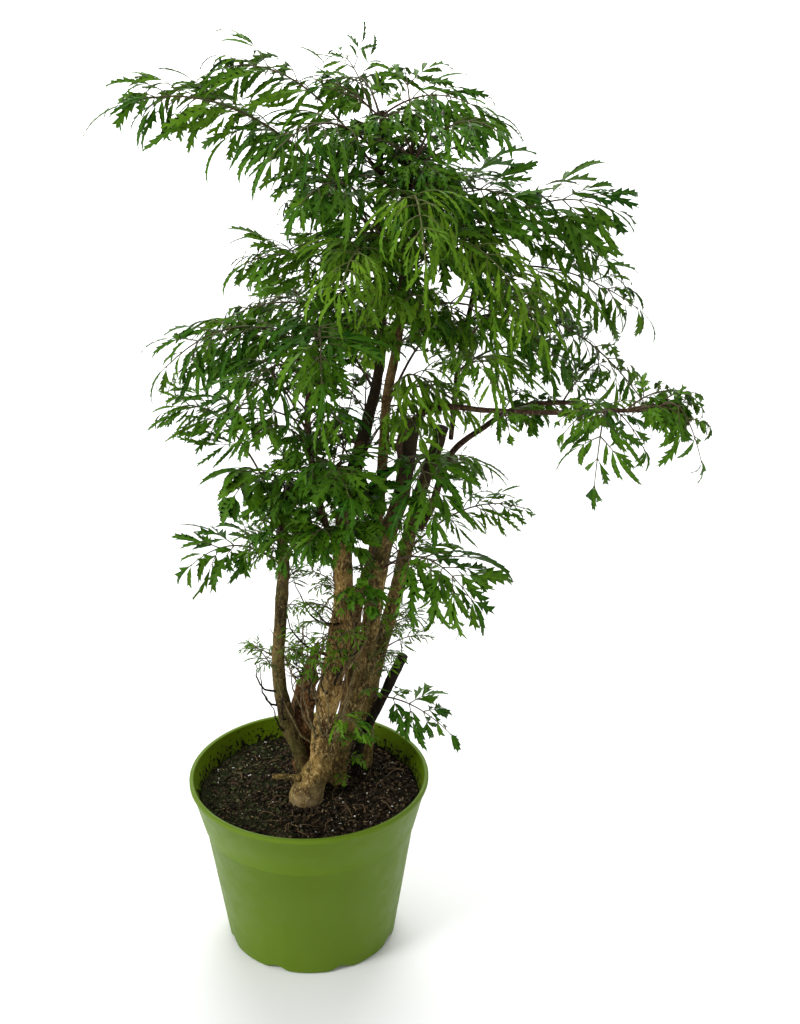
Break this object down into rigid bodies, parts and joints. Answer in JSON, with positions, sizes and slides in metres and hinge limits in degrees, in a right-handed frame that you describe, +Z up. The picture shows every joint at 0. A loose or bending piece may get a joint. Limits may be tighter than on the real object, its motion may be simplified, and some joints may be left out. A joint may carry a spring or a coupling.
{
  "type": "potted ming aralia",
  "caption": "Small woody houseplant with finely divided, arching compound leaves on bare canes, growing in a tapered round plastic nursery pot of soil.",
  "frame": {"origin": "centre of the pot's underside, where it rests", "axes": "+Z up along the pot's axis; +Y away from the front of the plant; +X to the right of someone who faces the front, the side with the long reaching shoots"},
  "size_m": [0.332, 0.2427, 0.5605],
  "materials": {
    "pot": "semi-matte injection-moulded lime green plastic",
    "soil": "moist dark potting mix with white perlite, bark fibres and moss",
    "bark": "rough tan and brown speckled bark",
    "dark_bark": "rough dark brown bark, black on the sawn ends",
    "green_wood": "smooth young brown stem",
    "leaf": "semi-gloss dark green leaf with paler underside"
  },
  "bodies": {
    "root": {"arching_shoot": "green_wood", "base_leaf_1": "leaf", "base_leaf_2": "leaf", "burl_stump": "bark", "crown_leaf_1": "leaf", "crown_leaf_10": "leaf", "crown_leaf_11": "leaf", "crown_leaf_12": "leaf", "crown_leaf_13": "leaf", "crown_leaf_14": "leaf", "crown_leaf_15": "leaf", "crown_leaf_16": "leaf", "crown_leaf_2": "leaf", "crown_leaf_3": "leaf", "crown_leaf_4": "leaf", "crown_leaf_5": "leaf", "crown_leaf_6": "leaf", "crown_leaf_7": "leaf", "crown_leaf_8": "leaf", "crown_leaf_9": "leaf", "cut_stub": "dark_bark", "front_trunk": "bark", "left_leaf_1": "leaf", "left_leaf_2": "leaf", "left_leaf_3": "leaf", "left_leaf_4": "leaf", "left_leaf_5": "leaf", "left_leaf_6": "leaf", "left_leaf_7": "leaf", "left_leaf_8": "leaf", "left_leaf_9": "leaf", "left_shoot": "green_wood", "left_trunk": "bark", "long_right_shoot": "green_wood", "low_leaf_1": "leaf", "low_leaf_2": "leaf", "low_leaf_3": "leaf", "low_leaf_4": "leaf", "low_leaf_5": "leaf", "low_leaf_6": "leaf", "low_leaf_7": "leaf", "low_leaf_8": "leaf", "low_leaf_9": "leaf", "pot": "pot", "potting_soil": "soil", "rear_trunk": "dark_bark", "right_leaf_1": "leaf", "right_leaf_10": "leaf", "right_leaf_2": "leaf", "right_leaf_3": "leaf", "right_leaf_4": "leaf", "right_leaf_5": "leaf", "right_leaf_6": "leaf", "right_leaf_7": "leaf", "right_leaf_8": "leaf", "right_leaf_9": "leaf", "right_trunk": "dark_bark", "root_peg": "bark", "slender_trunk": "bark", "upright_shoot": "green_wood"}
  },
  "joints": []
}
